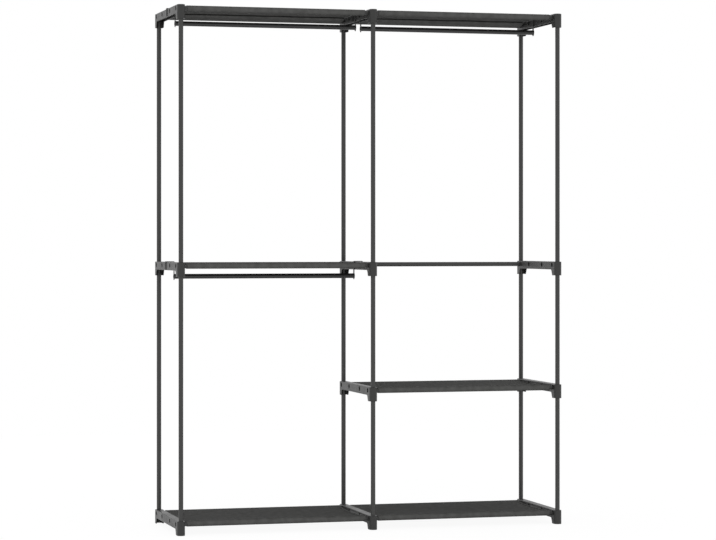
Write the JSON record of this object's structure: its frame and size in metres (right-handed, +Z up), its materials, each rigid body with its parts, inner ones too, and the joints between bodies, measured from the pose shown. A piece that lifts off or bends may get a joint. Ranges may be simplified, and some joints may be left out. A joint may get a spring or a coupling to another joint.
{
  "type": "open frame wardrobe",
  "caption": "Free-standing open wardrobe: moulded side frames joined by steel tubes, with sewn fabric shelves and hanging rails that slide front to back.",
  "frame": {"origin": "on the floor, under the middle of the frame", "axes": "+X to the right as seen from the front, +Y to the back, +Z up"},
  "size_m": [1.3076, 0.398, 1.7023],
  "materials": {
    "frame_plastic": "moulded polypropylene, satin, dark grey",
    "tube_steel": "powder coat, satin, dark grey",
    "rail_steel": "powder coat, satin, black",
    "hook_plastic": "moulded polypropylene, black",
    "shelf_cloth": "non-woven polypropylene cloth, point bonded, dark grey"
  },
  "bodies": {
    "frame": {"side_frame_floor_left": "frame_plastic", "side_frame_mid_left": "frame_plastic", "side_frame_top_left": "frame_plastic", "side_frame_floor_centre": "frame_plastic", "side_frame_lower_centre": "frame_plastic", "side_frame_mid_centre": "frame_plastic", "side_frame_top_centre": "frame_plastic", "side_frame_floor_right": "frame_plastic", "side_frame_lower_right": "frame_plastic", "side_frame_mid_right": "frame_plastic", "side_frame_top_right": "frame_plastic", "post_front_left_floor_to_mid": "tube_steel", "post_back_left_floor_to_mid": "tube_steel", "post_front_left_mid_to_top": "tube_steel", "post_back_left_mid_to_top": "tube_steel", "post_front_centre_floor_to_lower": "tube_steel", "post_back_centre_floor_to_lower": "tube_steel", "post_front_centre_lower_to_mid": "tube_steel", "post_back_centre_lower_to_mid": "tube_steel", "post_front_centre_mid_to_top": "tube_steel", "post_back_centre_mid_to_top": "tube_steel", "post_front_right_floor_to_lower": "tube_steel", "post_back_right_floor_to_lower": "tube_steel", "post_front_right_lower_to_mid": "tube_steel", "post_back_right_lower_to_mid": "tube_steel", "post_front_right_mid_to_top": "tube_steel", "post_back_right_mid_to_top": "tube_steel", "cross_tube_floor_left_front": "tube_steel", "cross_tube_floor_left_back": "tube_steel", "cross_tube_floor_right_front": "tube_steel", "cross_tube_floor_right_back": "tube_steel", "cross_tube_lower_right_front": "tube_steel", "cross_tube_lower_right_back": "tube_steel", "cross_tube_mid_left_front": "tube_steel", "cross_tube_mid_left_back": "tube_steel", "cross_tube_top_left_front": "tube_steel", "cross_tube_top_left_back": "tube_steel", "cross_tube_top_right_front": "tube_steel", "cross_tube_top_right_back": "tube_steel", "cross_tube_mid_right_back": "tube_steel", "shelf_floor_left": "shelf_cloth", "shelf_floor_right": "shelf_cloth", "shelf_lower_right": "shelf_cloth", "shelf_mid_left": "shelf_cloth", "shelf_top_left": "shelf_cloth", "shelf_top_right": "shelf_cloth"},
    "rail_mid_left": {"rail_mid_left": "rail_steel", "rail_hook_mid_left_left": "hook_plastic", "rail_hook_mid_left_right": "hook_plastic"},
    "rail_top_left": {"rail_top_left": "rail_steel", "rail_hook_top_left_left": "hook_plastic", "rail_hook_top_left_right": "hook_plastic"},
    "rail_top_right": {"rail_top_right": "rail_steel", "rail_hook_top_right_left": "hook_plastic", "rail_hook_top_right_right": "hook_plastic"}
  },
  "joints": [
    {"name": "rail_mid_left_slide", "type": "slide", "parent": "frame", "child": "rail_mid_left", "axis": [0, 1, 0], "range_m": [-0.15, 0.15]},
    {"name": "rail_top_left_slide", "type": "slide", "parent": "frame", "child": "rail_top_left", "axis": [0, 1, 0], "range_m": [-0.132, 0.008]},
    {"name": "rail_top_right_slide", "type": "slide", "parent": "frame", "child": "rail_top_right", "axis": [0, 1, 0], "range_m": [-0.008, 0.132]}
  ]
}
